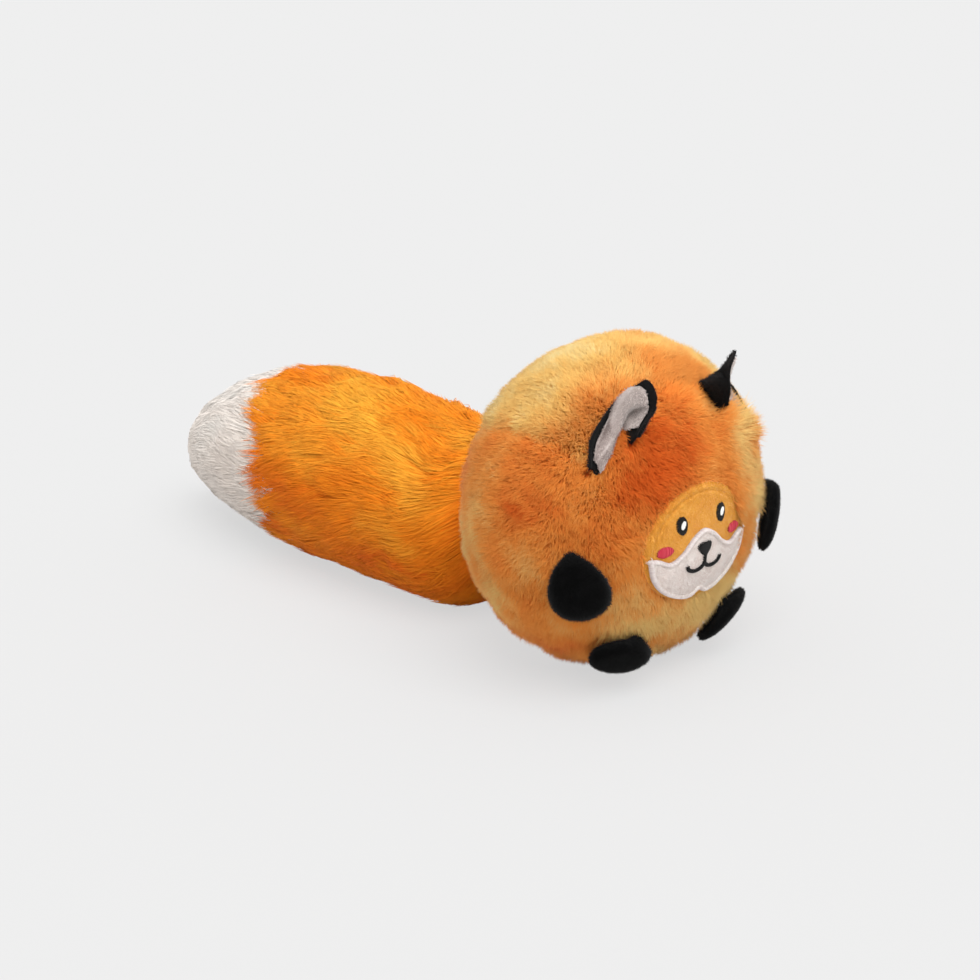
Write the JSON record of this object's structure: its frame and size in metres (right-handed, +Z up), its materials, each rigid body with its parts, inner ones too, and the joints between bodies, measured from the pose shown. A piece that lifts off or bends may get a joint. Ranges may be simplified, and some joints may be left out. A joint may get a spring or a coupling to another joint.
{
  "type": "plush fox",
  "caption": "Round plush fox toy: a furry ball with a stitched face, folded ears, four stuffed paws and a long bushy tail that swings.",
  "frame": {"origin": "on the floor, under the middle of the ball", "axes": "+Z up, +Y from the face towards the tail's tip, +X towards the fox's left"},
  "size_m": [0.14, 0.3521, 0.1395],
  "materials": {
    "plush_orange": "short-pile plush",
    "plush_crown": "short-pile plush, lighter",
    "fleece_yellow": "brushed fleece",
    "fleece_white": "brushed fleece",
    "felt_black": "felt",
    "ear_lining": "brushed fleece",
    "paw_black": "very short pile",
    "thread_black": "satin stitch",
    "thread_white": "satin stitch",
    "thread_pink": "satin stitch",
    "tail_orange": "long-pile plush",
    "tail_white": "long-pile plush",
    "fibre_filling": "loose polyester fibre",
    "squeaker_plastic": "thin blown plastic"
  },
  "bodies": {
    "ball": {"front_panel": "plush_orange", "crown_gusset": "plush_crown", "belly_gusset": "plush_orange", "side_gusset_left": "plush_orange", "side_gusset_right": "plush_orange", "back_panel_left": "plush_orange", "back_panel_right": "plush_orange", "face_patch": "fleece_yellow", "muzzle_patch": "fleece_white", "eye_left": "thread_black", "eye_right": "thread_black", "eye_highlight_left": "thread_white", "eye_highlight_right": "thread_white", "cheek_left": "thread_pink", "cheek_right": "thread_pink", "nose": "thread_black", "mouth": "thread_black", "body_filling_front": "fibre_filling", "body_filling_back": "fibre_filling", "squeaker_bulb": "squeaker_plastic", "squeaker_reed": "squeaker_plastic"},
    "ear_left": {"ear_back_left": "felt_black", "ear_lining_left": "ear_lining"},
    "ear_right": {"ear_back_right": "felt_black", "ear_lining_right": "ear_lining"},
    "arm_left": {"arm_cover_left": "paw_black", "arm_back_left": "paw_black", "arm_filling_left": "fibre_filling"},
    "arm_right": {"arm_cover_right": "paw_black", "arm_back_right": "paw_black", "arm_filling_right": "fibre_filling"},
    "foot_left": {"foot_cover_left": "paw_black", "foot_back_left": "paw_black", "foot_filling_left": "fibre_filling"},
    "foot_right": {"foot_cover_right": "paw_black", "foot_back_right": "paw_black", "foot_filling_right": "fibre_filling"},
    "tail_root": {"tail_root_gather": "tail_orange"},
    "tail": {"tail_fur": "tail_orange", "tail_filling": "fibre_filling"},
    "tail_tip": {"tail_tip_fur": "tail_white", "tail_tip_filling": "fibre_filling"}
  },
  "joints": [
    {"name": "tail_swing", "type": "hinge", "parent": "ball", "child": "tail_root", "pos_m": [0, 0.05599, 0.056], "axis": [0, 0, 1], "range_deg": [-40, 40]},
    {"name": "tail_lift", "type": "hinge", "parent": "tail_root", "child": "tail", "pos_m": [0, 0.05599, 0.056], "axis": [1, 0, 0], "range_deg": [0, 50]},
    {"name": "tail_tip_bend", "type": "hinge", "parent": "tail", "child": "tail_tip", "pos_m": [0, 0.20399, 0.04385], "axis": [0, 0, 1], "range_deg": [-25, 25]},
    {"name": "ear_left_fold", "type": "hinge", "parent": "ball", "child": "ear_left", "pos_m": [0.03259, -0.03456, 0.10996], "axis": [-0.7503, 0.0388, 0.66], "range_deg": [-20, 12]},
    {"name": "ear_right_fold", "type": "hinge", "parent": "ball", "child": "ear_right", "pos_m": [-0.03259, -0.03456, 0.10996], "axis": [-0.7503, -0.0388, -0.66], "range_deg": [-20, 12]},
    {"name": "arm_left_flap", "type": "hinge", "parent": "ball", "child": "arm_left", "pos_m": [0.05717, -0.03548, 0.06894], "axis": [-0.6996, -0.6895, 0.1875], "range_deg": [0, 60]},
    {"name": "arm_right_flap", "type": "hinge", "parent": "ball", "child": "arm_right", "pos_m": [-0.05717, -0.03548, 0.06894], "axis": [-0.6996, 0.6895, -0.1875], "range_deg": [0, 60]},
    {"name": "foot_left_flap", "type": "hinge", "parent": "ball", "child": "foot_left", "pos_m": [0.02542, -0.03969, 0.02365], "axis": [-0.8746, 0, -0.4848], "range_deg": [0, 35]},
    {"name": "foot_right_flap", "type": "hinge", "parent": "ball", "child": "foot_right", "pos_m": [-0.02542, -0.03969, 0.02365], "axis": [-0.8746, 0, 0.4848], "range_deg": [0, 35]}
  ]
}
